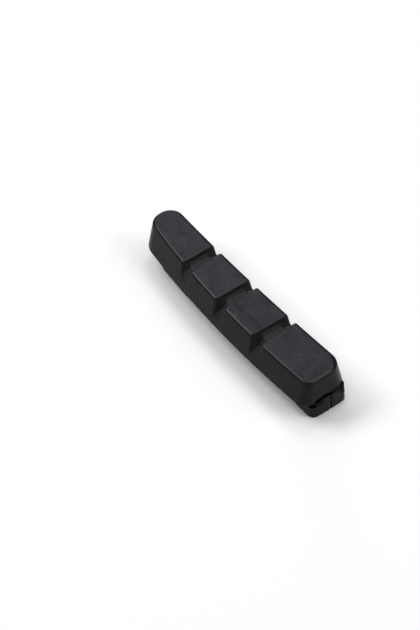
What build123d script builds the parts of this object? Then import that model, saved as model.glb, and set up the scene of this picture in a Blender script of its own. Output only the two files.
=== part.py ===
from build123d import *
import os

# Bicycle rim brake pad: a slide-in rubber insert for a pad holder.
# One moulding: friction block on top, neck, and T-shaped rail below.
# Frame: origin on the back of the rail, on the rail's middle line.
# +X runs along the rail towards the end with the pin notch, +Z is the normal
# of the friction face, -Y is the long bowed side. All sizes in millimetres.

# ---- heights
rail_h = 3.7            # thickness of the rail head
neck_h = 1.8            # slot between the rail head and the block
block_h = 7.3           # friction block, from its base to the friction face
height = rail_h + neck_h + block_h
base_z = rail_h + neck_h

# ---- rail
rail_w = 10.8
rail_x0, rail_x1 = -31.5, 35.2
rail_round = 4.6        # corners of the plain end
taper_x, taper = -17.5, 1.15    # the bowed side runs in towards the plain end from here, by this much
rail_corner_n, rail_corner_f = 1.9, 1.4   # notch end, bowed and hollow side
rail_bulge = 0.2        # the notch end is a little convex
rail_skew = 0.15        # and a little out of square
rail_edge = 0.12        # moulded edge round along the back
neck_w = 7.6
neck_x0, neck_x1 = -30.3, 33.2
neck_round = 3.75
neck_corner = 0.9
# the neck's last bit, level with the rail's notch end
stop_x0 = 30.8
stop_n, stop_f = -4.6, 4.05
stop_corner_n, stop_corner_f = 3.0, 0.9
stop_z = base_z + 0.15  # its top, bedded in the block
web_y0, web_y1, web_in = 4.2, 5.35, 0.24   # a thin web closes the slot at the hollow corner
# open gap between the neck's end and the block: its outline before the end face (y, z), and the way it runs in
gap_x = 35.6
gap_top = ((-5.75, 7.05), (-5.0, 7.8), (-3.8, 7.83), (-2.5, 7.95), (-1.3, 7.9), (-0.4, 7.4), (0.56, 6.95), (1.2, 6.9))
gap_low = ((-5.6, 6.8), (-5.0, 6.85), (-3.8, 6.65), (-2.5, 6.62), (-1.3, 6.7), (-0.3, 6.5), (0.56, 6.45), (1.2, 6.65))
gap_run = (-0.475, 0.372, -0.798)
gap_depth = 3.3
# the slot widens round the bowed corner: its outline on a plane across that corner (along the corner, z)
flare_off = 29.6
flare_top = ((19.17, 6.8), (19.76, 7.02), (20.49, 7.15), (21.22, 7.16), (21.94, 7.09), (22.67, 7.16), (23.15, 7.18))
flare_low = ((19.17, 6.65), (19.74, 6.38), (20.46, 6.14), (21.19, 6.15), (21.92, 6.32), (22.66, 6.74), (23.15, 7.04))
flare_run = (-0.476, 0.366, -0.8)
flare_depth = 5.7
flare_rim = 0.3         # the rail's outer edge is left standing
nib_y = 0.45            # flash nib at the foot of the parting line

# ---- friction block, seen from above, at the friction face and at its base
# each side is an arc: its radius, and the x and y of its middle
top_bow = (300.0, 11.5, -6.5)         # the long bowed side
base_bow = (319.0, 9.6, -8.62)
top_hollow = (700.0, -6.3, 4.36)      # the other side is very slightly hollow
base_hollow = (700.0, -6.3, 5.13)
top_x0, top_x1 = -34.7, 34.0
base_x0, base_x1 = -35.15, 34.45
top_round_n, top_round_f = 3.85, 3.85
base_round_n, base_round_f = 5.6, 5.2
top_corner_n, top_corner_f = 1.9, 4.2
base_corner_n, base_corner_f = 3.2, 3.4
top_bulge, base_bulge = 0.25, 0.45    # the notch end is a little convex

# ---- cross grooves in the friction face
groove_x = (-15.0, 0.0, 15.0)
groove_w_near, groove_w_far = 3.95, 3.16    # mouth width on the bowed and hollow side
groove_wall = 0.17      # wall taper, per mm of depth
groove_mid = 1.5        # depth over the middle
groove_out = 4.75       # depth where it runs out through the sides
ramp_near, ramp_far = -3.5, 2.0             # where the floor starts to fall away
out_near, out_far = -7.7, 5.8               # where it reaches the full depth
past_near, past_far = -9.4, 6.4             # the cut runs on past the sides to here
ramp_round = 0.8        # soft crease where a ramp starts

# ---- notch across the rail for the holder's retaining pin
notch_x = 24.55
notch_w = 7.4
notch_d = 3.1
notch_r = 2.1

# ---- edge rounds
face_edge = 0.95        # round the friction face
groove_edge = 0.45      # round the groove mouths
lip_edge = 0.2          # lower edge of the block, upper edge of the rail
groove_root = 0.4       # inside the grooves
slot_root = 0.25        # inside the slot beside the neck


def side(arc, x):
    radius, mid_x, mid_y = arc
    return mid_y + (x - mid_x) ** 2 / (2 * radius)


# Cutter for one groove: a wedge with tapered walls, whose floor is level over
# the middle and ramps down to both sides.
with BuildPart() as groove:
    with BuildSketch(Plane.YZ) as floor_outline:
        with BuildLine():
            fall_n = (groove_out - groove_mid) / (ramp_near - out_near)
            fall_f = (groove_out - groove_mid) / (out_far - ramp_far)
            Polyline(
                (past_near, height + 1),
                (past_near, height - groove_mid - fall_n * (ramp_near - past_near)),
                (ramp_near, height - groove_mid),
                (ramp_far, height - groove_mid),
                (past_far, height - groove_mid - fall_f * (past_far - ramp_far)),
                (past_far, height + 1),
                close=True,
            )
        make_face()
        fillet(floor_outline.vertices().filter_by(lambda v: abs(v.Y - height + groove_mid) < 0.01), ramp_round)
    extrude(amount=5, both=True)
    plan = (groove_w_near - groove_w_far) / 2 / 10.2
    mid = (groove_w_near + groove_w_far) / 4
    for depth in (-1, 8):
        with BuildSketch(Plane.XY.offset(height - depth)):
            with BuildLine():
                w = mid - depth * groove_wall
                Polyline(
                    (-w - plan * 11, -12), (w + plan * 11, -12),
                    (w - plan * 9, 8), (-w + plan * 9, 8), close=True,
                )
            make_face()
    loft(ruled=True, mode=Mode.INTERSECT)
    # rounded roots, along the two long lower edges of the floor
    fillet(
        groove.edges().filter_by(
            lambda e: abs(e.center().X) > 0.2
            and e.center().Z < height - 0.5
            and past_near + 0.01 < e.center().Y < past_far - 0.01
        ),
        groove_root,
    )

# Outline of the rail head: round at the plain end and square at the notch end.
square_x = rail_x1 - rail_bulge
near_x, far_x = square_x - rail_skew, square_x + rail_skew
with BuildSketch() as rail_outline:
    with BuildLine():
        Polyline(
            (far_x, rail_w / 2), (rail_x0, rail_w / 2), (rail_x0, taper - rail_w / 2),
            (taper_x, -rail_w / 2), (near_x, -rail_w / 2),
        )
        ThreePointArc((near_x, -rail_w / 2), (rail_x1, 0), (far_x, rail_w / 2))
    make_face()
    fillet(rail_outline.vertices().sort_by_distance(Vector(taper_x, -rail_w / 2, 0))[0], 30)
    fillet(rail_outline.vertices().group_by(Axis.X)[0], rail_round)
    for corner, radius in (((near_x, -rail_w / 2), rail_corner_n), ((far_x, rail_w / 2), rail_corner_f)):
        fillet(rail_outline.vertices().sort_by_distance(Vector(*corner, 0))[0], radius)

# Cutter for the slot's flare, less a rim along the edge of the rail.
with BuildPart() as flare:
    corner_plane = Plane(
        origin=(flare_off / 2**0.5, -flare_off / 2**0.5, 0), x_dir=(1, 1, 0), z_dir=(1, -1, 0)
    )
    with BuildSketch(corner_plane):
        with BuildLine():
            Spline(*flare_top)
            Line(flare_top[-1], flare_low[-1])
            Spline(*reversed(flare_low))
            Line(flare_low[0], flare_top[0])
        make_face()
    extrude(amount=flare_depth, dir=flare_run)
    with BuildPart(mode=Mode.SUBTRACT):
        with BuildSketch():
            add(rail_outline.sketch)
            offset(amount=-flare_rim, kind=Kind.INTERSECTION, mode=Mode.SUBTRACT)
        extrude(amount=rail_h)

with BuildPart() as pad:
    # friction block, drafted on all sides
    for z, x0, x1, near, far, bulge, rn, rf, cn, cf in (
        (base_z, base_x0, base_x1, base_bow, base_hollow, base_bulge,
         base_round_n, base_round_f, base_corner_n, base_corner_f),
        (height, top_x0, top_x1, top_bow, top_hollow, top_bulge,
         top_round_n, top_round_f, top_corner_n, top_corner_f),
    ):
        with BuildSketch(Plane.XY.offset(z)) as outline:
            with BuildLine():
                a, b = (x0, side(near, x0)), (x1, side(near, x1))
                c, d = (x1, side(far, x1)), (x0, side(far, x0))
                xm = (x0 + x1) / 2
                ThreePointArc(a, (xm, side(near, xm)), b)
                ThreePointArc(b, (x1 + bulge, (b[1] + c[1]) / 2), c)
                ThreePointArc(c, (xm, side(far, xm)), d)
                Line(d, a)
            make_face()
            for corner, radius in ((a, rn), (d, rf), (b, cn), (c, cf)):
                fillet(outline.vertices().sort_by_distance(Vector(*corner, z))[0], radius)
    loft(ruled=True)

    # soft edge all round the friction face
    fillet(pad.edges().filter_by_position(Axis.Z, height - 0.01, height + 0.01), face_edge)
    skin = pad.faces()

    # cross grooves, with soft mouths
    with Locations(*[(x, 0, 0) for x in groove_x]):
        add(groove.part, mode=Mode.SUBTRACT)
    mouths = pad.edges(Select.LAST).filter_by(
        lambda e: min(f.distance_to(e @ 0.5) for f in skin) < 0.001
    )
    fillet(mouths, groove_edge)

    # lower edge of the block
    fillet(pad.edges().filter_by_position(Axis.Z, base_z - 0.01, base_z + 0.01), lip_edge)

    # rail head
    with BuildSketch():
        add(rail_outline.sketch)
    extrude(amount=rail_h)

    # pin notch across the rail
    with BuildSketch(Plane.XZ) as notch_outline:
        with Locations((notch_x, (notch_d - 2) / 2)):
            Rectangle(notch_w, notch_d + 2)
        fillet(notch_outline.vertices().group_by(Axis.Y)[-1], notch_r)
    extrude(amount=rail_w, both=True, mode=Mode.SUBTRACT)

    # soft edges of the rail: along its back and the notch mouth, then along its top
    fillet(pad.edges().filter_by_position(Axis.Z, -0.01, 0.01), rail_edge)
    fillet(pad.edges().filter_by_position(Axis.Z, rail_h - 0.01, rail_h + 0.01), lip_edge)

    # neck between the rail and the block
    with BuildSketch(Plane.XY.offset(rail_h)) as neck_outline:
        with Locations(((neck_x0 + neck_x1) / 2, 0)):
            Rectangle(neck_x1 - neck_x0, neck_w)
        fillet(neck_outline.vertices().group_by(Axis.X)[0], neck_round)
        fillet(neck_outline.vertices().group_by(Axis.X)[-1], neck_corner)
    extrude(amount=neck_h)
    # rounded roots inside the slot
    fillet(
        pad.edges().filter_by(
            lambda e: min(abs(e.center().Z - rail_h), abs(e.center().Z - base_z)) < 0.01
            and abs(e.center().Y) < neck_w / 2 + 0.05
            and neck_x0 - 0.05 < e.center().X < neck_x1 + 0.05
        ),
        slot_root,
    )

    # end of the neck, and the web at the hollow corner
    with BuildSketch(Plane.XY.offset(rail_h - 0.6)) as stop_outline:
        with BuildLine():
            Polyline((near_x, -rail_w / 2), (stop_x0, -rail_w / 2), (stop_x0, rail_w / 2), (far_x, rail_w / 2))
            ThreePointArc((near_x, -rail_w / 2), (rail_x1, 0), (far_x, rail_w / 2))
        make_face()
        with Locations((stop_x0 + 5, (stop_n + stop_f) / 2)):
            Rectangle(10, stop_f - stop_n, mode=Mode.INTERSECT)
        fillet(stop_outline.vertices().sort_by_distance(Vector(near_x, stop_n, rail_h - 0.6))[0], stop_corner_n)
        fillet(stop_outline.vertices().sort_by_distance(Vector(far_x, stop_f, rail_h - 0.6))[0], stop_corner_f)
    extrude(amount=stop_z - rail_h + 0.6)
    with BuildSketch(Plane.XY.offset(rail_h - 0.6)) as web_outline:
        with BuildLine():
            Polyline(
                (stop_x0, web_y0), (far_x - web_in, web_y0), (far_x - web_in, web_y1), (stop_x0, web_y1), close=True
            )
        make_face()
        fillet(web_outline.vertices().sort_by_distance(Vector(far_x, web_y1, rail_h - 0.6))[0], 1.1)
    extrude(amount=stop_z - rail_h + 0.6)

    # gap between the neck's end and the block
    with BuildSketch(Plane.YZ.offset(gap_x)):
        with BuildLine():
            Spline(*gap_top)
            Line(gap_top[-1], gap_low[-1])
            Spline(*reversed(gap_low))
            Line(gap_low[0], gap_top[0])
        make_face()
    extrude(amount=gap_depth, dir=gap_run, mode=Mode.SUBTRACT)

    # the slot's flare round the bowed corner
    add(flare.part, mode=Mode.SUBTRACT)

    # flash nib
    with BuildSketch(Plane.XZ.offset(-nib_y)):
        with BuildLine():
            Polyline((rail_x1 - 0.3, 0), (rail_x1 + 0.12, 0.1), (rail_x1 + 0.1, 0.4), (rail_x1 - 0.3, 1.3), close=True)
        make_face()
    extrude(amount=0.2, both=True)

pad.part.label = "brake_pad"
os.makedirs("parts", exist_ok=True)
export_step(pad.part, "parts/brake_pad.step")
print("volume mm3", pad.part.volume, "solids", len(pad.part.solids()), pad.part.bounding_box())
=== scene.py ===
import bpy, bmesh, math
from mathutils import Matrix, Vector, noise


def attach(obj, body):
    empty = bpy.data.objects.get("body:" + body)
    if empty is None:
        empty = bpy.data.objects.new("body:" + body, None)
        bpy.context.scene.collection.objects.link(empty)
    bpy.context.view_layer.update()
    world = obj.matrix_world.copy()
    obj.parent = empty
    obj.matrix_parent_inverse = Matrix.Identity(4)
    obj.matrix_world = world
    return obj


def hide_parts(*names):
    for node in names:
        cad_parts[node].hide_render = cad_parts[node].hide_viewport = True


# A moulded rubber rim brake pad insert, lying on the back of its rail.
# Everything is in metres, in the row frame: +X along the rail, +Z out of the friction face.

MM = 0.001
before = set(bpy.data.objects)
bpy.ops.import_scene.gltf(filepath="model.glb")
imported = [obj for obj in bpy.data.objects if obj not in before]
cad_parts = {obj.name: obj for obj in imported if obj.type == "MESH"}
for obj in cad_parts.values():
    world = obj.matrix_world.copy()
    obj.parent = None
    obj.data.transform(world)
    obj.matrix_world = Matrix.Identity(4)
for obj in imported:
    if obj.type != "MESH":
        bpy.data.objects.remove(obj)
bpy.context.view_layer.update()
scene = bpy.context.scene

# ------------------------------------------------------------------ the moulding
# The visible piece starts from the imported solid, gets an even, finer mesh, and
# then the mark of the mould: the parting line round the rail.

BASE_Z = 5.5 * MM         # underside of the friction block
FACE_Z = 12.8 * MM        # the friction face
LINE_Y = 0.35 * MM        # the mould's parting line runs beside the middle
LINE_W = 0.30 * MM        # half width of its groove
LINE_D = 0.45 * MM        # its depth


def even_mesh(bm, longest):
    for _ in range(9):
        long_edges = [e for e in bm.edges if e.calc_length() > longest]
        if not long_edges:
            break
        bmesh.ops.subdivide_edges(bm, edges=long_edges, cuts=1)
        bmesh.ops.triangulate(bm, faces=[f for f in bm.faces if len(f.verts) > 3], quad_method="SHORT_EDGE")


def cut_along(bm, faces, axis, at):
    # a row of vertices across these faces; gives the set back with the new ones
    hit = [
        f for f in faces
        if min(v.co[axis] for v in f.verts) < at - 1e-8 and max(v.co[axis] for v in f.verts) > at + 1e-8
    ]
    if not hit:
        return faces
    geom = set(hit)
    for f in hit:
        geom.update(f.edges)
        geom.update(f.verts)
    place, normal = [0, 0, 0], [0, 0, 0]
    place[axis], normal[axis] = at, 1
    made = bmesh.ops.bisect_plane(bm, geom=list(geom), dist=1e-9, plane_co=place, plane_no=normal)
    return faces | {g for g in made["geom"] if isinstance(g, bmesh.types.BMFace)}


def parting_line(bm):
    low, high = LINE_Y - LINE_W, LINE_Y + LINE_W
    faces = {
        f for f in bm.faces
        if f.calc_center_median().z < BASE_Z + 0.02 * MM
        and min(v.co.y for v in f.verts) < high and max(v.co.y for v in f.verts) > low
    }
    for t in (-1.0, -0.5, 0.0, 0.5, 1.0):
        faces = cut_along(bm, faces, 1, LINE_Y + t * LINE_W)
    faces = {f for f in faces if low < f.calc_center_median().y < high}
    for i in range(-35, 36):
        faces = cut_along(bm, faces, 0, i * 1.0 * MM)
    for i in range(1, 12):
        faces = cut_along(bm, faces, 2, i * 0.47 * MM)
    bmesh.ops.triangulate(bm, faces=[f for f in bm.faces if len(f.verts) > 3], quad_method="SHORT_EDGE")
    bm.normal_update()
    moves = []
    for v in bm.verts:
        t = (v.co.y - LINE_Y) / LINE_W
        # not on the inner side of the thin end wall, where the groove would come out in front
        inner = v.co.x > 33 * MM and v.normal.x < -0.1
        if abs(t) < 0.99 and v.co.z < BASE_Z + 0.02 * MM and not inner:
            wander = noise.noise(Vector((v.co.x * 260, 3.1, v.co.z * 260)))
            depth = LINE_D * (1 + 0.22 * wander) * (1 - abs(t)) ** 1.2
            moves.append((v, -v.normal * depth))
    for v, d in moves:
        v.co += d


def build_pad(src):
    bm = bmesh.new()
    bm.from_mesh(src.data)
    bmesh.ops.remove_doubles(bm, verts=bm.verts, dist=2e-8)
    even_mesh(bm, 2.2 * MM)
    parting_line(bm)
    bm.normal_update()
    mesh = bpy.data.meshes.new("brake_pad_moulding")
    bm.to_mesh(mesh)
    open_edges = sum(1 for e in bm.edges if len(e.link_faces) != 2)
    print("PAD faces", len(bm.faces), "open edges", open_edges)
    bm.free()
    for p in mesh.polygons:
        p.use_smooth = True
    pad = bpy.data.objects.new("brake_pad_moulding", mesh)
    scene.collection.objects.link(pad)
    return pad


pad = build_pad(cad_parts["brake_pad"])
bpy.context.view_layer.objects.active = pad
pad.select_set(True)
bpy.ops.object.shade_smooth_by_angle(angle=math.radians(38))
weighted = pad.modifiers.new("even_normals", "WEIGHTED_NORMAL")
weighted.mode = "FACE_AREA"
weighted.keep_sharp = True


# ------------------------------------------------------------------ material
def rubber():
    m = bpy.data.materials.new("black_brake_rubber")
    m.use_nodes = True
    nt = m.node_tree
    n, l = nt.nodes, nt.links
    bsdf = n["Principled BSDF"]
    coords = n.new("ShaderNodeTexCoord")
    where = coords.outputs["Object"]

    def noise_at(scale, detail, roughness=0.55, distortion=0.0):
        t = n.new("ShaderNodeTexNoise")
        t.inputs["Scale"].default_value = scale
        t.inputs["Detail"].default_value = detail
        t.inputs["Roughness"].default_value = roughness
        t.inputs["Distortion"].default_value = distortion
        l.new(where, t.inputs["Vector"])
        return t.outputs["Fac"]

    def blend(a, b, share):
        t = n.new("ShaderNodeMix")
        t.data_type = "FLOAT"
        t.inputs["Factor"].default_value = share
        l.new(a, t.inputs["A"])
        l.new(b, t.inputs["B"])
        return t.outputs["Result"]

    def tones(fac, dark, light):
        t = n.new("ShaderNodeValToRGB")
        t.color_ramp.elements[0].position = 0.3
        t.color_ramp.elements[0].color = (*dark, 1)
        t.color_ramp.elements[1].position = 0.7
        t.color_ramp.elements[1].color = (*light, 1)
        l.new(fac, t.inputs["Fac"])
        return t.outputs["Color"]

    # soft clouds a few millimetres across, finer mottling, and grain
    clouds = noise_at(330, 3, 0.55, 0.6)
    mottle = noise_at(1250, 3, 0.6)
    grain = noise_at(5200, 2)
    skin = blend(blend(clouds, mottle, 0.42), grain, 0.22)

    # the friction face, picked out by height, gets its own tones with a slight bluish tint: painted light, set for
    # how the light falls on the top and on the sides, the tint a painted reflection of the cool overhead light
    split = n.new("ShaderNodeSeparateXYZ")
    l.new(where, split.inputs["Vector"])
    face = n.new("ShaderNodeMapRange")
    face.interpolation_type = "SMOOTHSTEP"
    face.inputs["From Min"].default_value = FACE_Z - 0.55 * MM
    face.inputs["From Max"].default_value = FACE_Z - 0.10 * MM
    l.new(split.outputs["Z"], face.inputs["Value"])
    # painted fill light on the walls of the cross grooves, which lie too dark in their own shade: their walls face
    # along X, and lie within 20 mm of the middle
    lean = n.new("ShaderNodeSeparateXYZ")
    l.new(coords.outputs["Normal"], lean.inputs["Vector"])

    def span(value, low, high):
        size = n.new("ShaderNodeMath")
        size.operation = "ABSOLUTE"
        l.new(value, size.inputs[0])
        t = n.new("ShaderNodeMapRange")
        t.interpolation_type = "SMOOTHSTEP"
        t.inputs["From Min"].default_value = low
        t.inputs["From Max"].default_value = high
        l.new(size.outputs["Value"], t.inputs["Value"])
        return t.outputs["Result"]

    groove_wall_fill = n.new("ShaderNodeMath")
    groove_wall_fill.operation = "MULTIPLY"
    grooves = span(split.outputs["X"], 22 * MM, 20 * MM)
    l.new(span(lean.outputs["X"], 0.45, 0.85), groove_wall_fill.inputs[0])
    l.new(grooves, groove_wall_fill.inputs[1])

    def layer(fac, under, over):
        t = n.new("ShaderNodeMix")
        t.data_type = "RGBA"
        l.new(fac, t.inputs["Factor"])
        l.new(under, t.inputs["A"])
        l.new(over, t.inputs["B"])
        return t.outputs["Result"]

    # the groove walls take the lighter tones below: painted fill light
    sides = layer(
        groove_wall_fill.outputs["Value"],
        tones(skin, (0.0068, 0.0068, 0.0068), (0.0112, 0.0112, 0.0113)),
        tones(skin, (0.0110, 0.0110, 0.0111), (0.0190, 0.0190, 0.0193)),
    )
    # painted light: the face's own tones and bluish tint, over the sides' tones
    colour = layer(face.outputs["Result"], sides, tones(skin, (0.0016, 0.0016, 0.0018), (0.0114, 0.0114, 0.0124)))

    # a faint darker band along the face of one block, sharp on one side and fading out on the other, with less
    # gloss
    def step(value, low, high):
        t = n.new("ShaderNodeMapRange")
        t.interpolation_type = "SMOOTHSTEP"
        t.inputs["From Min"].default_value = low
        t.inputs["From Max"].default_value = high
        l.new(value, t.inputs["Value"])
        return t.outputs["Result"]

    def both(a, b):
        t = n.new("ShaderNodeMath")
        t.operation = "MULTIPLY"
        l.new(a, t.inputs[0])
        l.new(b, t.inputs[1])
        return t.outputs["Value"]

    along = both(step(split.outputs["X"], -0.3 * MM, 0.3 * MM), step(split.outputs["X"], 14.6 * MM, 14.0 * MM))
    across = both(step(split.outputs["Y"], -5.6 * MM, -3.0 * MM), step(split.outputs["Y"], -2.45 * MM, -2.85 * MM))
    block_band = both(both(along, across), face.outputs["Result"])
    darker = n.new("ShaderNodeMix")
    darker.data_type = "RGBA"
    darker.blend_type = "MULTIPLY"
    darker.inputs["B"].default_value = (0.8, 0.8, 0.8, 1)
    l.new(block_band, darker.inputs["Factor"])
    l.new(colour, darker.inputs["A"])
    l.new(darker.outputs["Result"], bsdf.inputs["Base Color"])

    def vary(low, high):
        t = n.new("ShaderNodeMapRange")
        t.inputs["From Min"].default_value = 0.3
        t.inputs["From Max"].default_value = 0.7
        t.inputs["To Min"].default_value = low
        t.inputs["To Max"].default_value = high
        l.new(skin, t.inputs["Value"])
        return t.outputs["Result"]

    def mixed(fac, under, over):
        t = n.new("ShaderNodeMix")
        t.data_type = "FLOAT"
        l.new(fac, t.inputs["Factor"])
        l.new(under, t.inputs["A"])
        l.new(over, t.inputs["B"])
        return t.outputs["Result"]

    # the moulded sides are a little duller than the face, and the floors of the grooves duller still
    flat = n.new("ShaderNodeMath")
    flat.operation = "MULTIPLY"
    l.new(span(lean.outputs["Z"], 0.60, 0.90), flat.inputs[0])
    l.new(grooves, flat.inputs[1])
    below = mixed(flat.outputs["Value"], vary(0.22, 0.30), vary(0.34, 0.42))
    l.new(mixed(face.outputs["Result"], below, vary(0.17, 0.25)), bsdf.inputs["Roughness"])
    gloss = mixed(face.outputs["Result"], vary(0.058, 0.072), vary(0.065, 0.109))
    l.new(mixed(block_band, gloss, vary(0.048, 0.084)), bsdf.inputs["Specular IOR Level"])
    bump = n.new("ShaderNodeBump")
    bump.inputs["Strength"].default_value = 0.2
    bump.inputs["Distance"].default_value = 0.02 * MM
    l.new(blend(mottle, grain, 0.6), bump.inputs["Height"])
    l.new(bump.outputs["Normal"], bsdf.inputs["Normal"])
    return m


pad.data.materials.clear()
pad.data.materials.append(rubber())
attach(pad, "root")
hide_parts("brake_pad")

# ------------------------------------------------------------------ floor
mesh = bpy.data.meshes.new("floor")
s = 4.0
mesh.from_pydata([(-s, -s, 0), (s, -s, 0), (s, s, 0), (-s, s, 0)], [], [(0, 1, 2, 3)])
floor = bpy.data.objects.new("floor", mesh)
scene.collection.objects.link(floor)
fm = bpy.data.materials.new("pale_floor")
fm.use_nodes = True
fb = fm.node_tree.nodes["Principled BSDF"]
fb.inputs["Base Color"].default_value = (0.53, 0.53, 0.53, 1)
fb.inputs["Roughness"].default_value = 0.9
fb.inputs["Specular IOR Level"].default_value = 0.1
floor.data.materials.append(fm)

# ------------------------------------------------------------------ light
world = bpy.data.worlds.new("studio")
scene.world = world
world.use_nodes = True
world.node_tree.nodes["Background"].inputs["Color"].default_value = (1, 1, 1, 1)
world.node_tree.nodes["Background"].inputs["Strength"].default_value = 0.02


def softbox(name, towards, along, length, width, radiance, colour=(1, 1, 1)):
    # a soft light a metre away that faces the pad; an area lamp's radiance is watts / (pi * area)
    lamp = bpy.data.lights.new(name, "AREA")
    lamp.shape = "ELLIPSE"
    lamp.size, lamp.size_y = width, length
    lamp.energy = radiance * math.pi * (math.pi / 4 * length * width)
    lamp.color = colour
    o = bpy.data.objects.new(name, lamp)
    scene.collection.objects.link(o)
    z = Vector(towards).normalized()
    y = Vector(along)
    y = (y - z * y.dot(z)).normalized()
    x = y.cross(z)
    o.matrix_world = Matrix((
        (x.x, y.x, z.x, z.x),
        (x.y, y.y, z.y, z.y),
        (x.z, y.z, z.z, z.z + 0.008),
        (0, 0, 0, 1),
    ))
    return o


softbox("left", (-0.60, 0.30, 0.74), (0, 1, 0), 0.46, 0.46, 3.9, (0.95, 0.96, 1.12))
softbox("mid", (-0.55, 0.0, 0.835), (0, -1, 0), 0.36, 0.40, 4.8)
softbox("front_left", (-0.55, -0.385, 0.742), (0, -0.88, -0.48), 0.58, 0.43, 13.5)
softbox("crown", (0.02, -0.18, 0.983), (1, 0, 0), 0.46, 0.46, 4.6)
softbox("top", (-0.21, 0.38, 0.90), (1, 0, 0), 0.30, 0.30, 12)
softbox("top_right", (0.22, 0.38, 0.90), (1, 0, 0), 0.52, 0.34, 6.0)
softbox("back_right", (0.66, 0.44, 0.61), (0, 0, 1), 0.55, 0.55, 6.2)
softbox("right_front", (0.76, -0.44, 0.48), (0, 0, 1), 0.42, 0.42, 3.7)
softbox("back_left", (-0.85, 0.49, 0.21), (0, 0, 1), 0.55, 0.55, 2.4)

# ------------------------------------------------------------------ camera
cam_data = bpy.data.cameras.new("camera")
cam_data.sensor_fit = "HORIZONTAL"
cam_data.sensor_width = 36.0
cam_data.lens = 36.0 * 1997.79 / 420.0
cam_data.clip_start, cam_data.clip_end = 0.01, 20.0
cam = bpy.data.objects.new("camera", cam_data)
scene.collection.objects.link(cam)
right = Vector((0.6029676, 0.7956558, -0.0579822))
up = Vector((-0.5921165, 0.4950576, 0.6358585))
back = -Vector((-0.5346290, 0.3490699, -0.7696246))
place = Vector((265.42627, -182.76860, 393.05622)) * MM
cam.matrix_world = Matrix((
    (right.x, up.x, back.x, place.x),
    (right.y, up.y, back.y, place.y),
    (right.z, up.z, back.z, place.z),
    (0, 0, 0, 1),
))
scene.camera = cam

scene.view_settings.view_transform = "Standard"
scene.view_settings.look = "None"

bpy.context.view_layer.update()
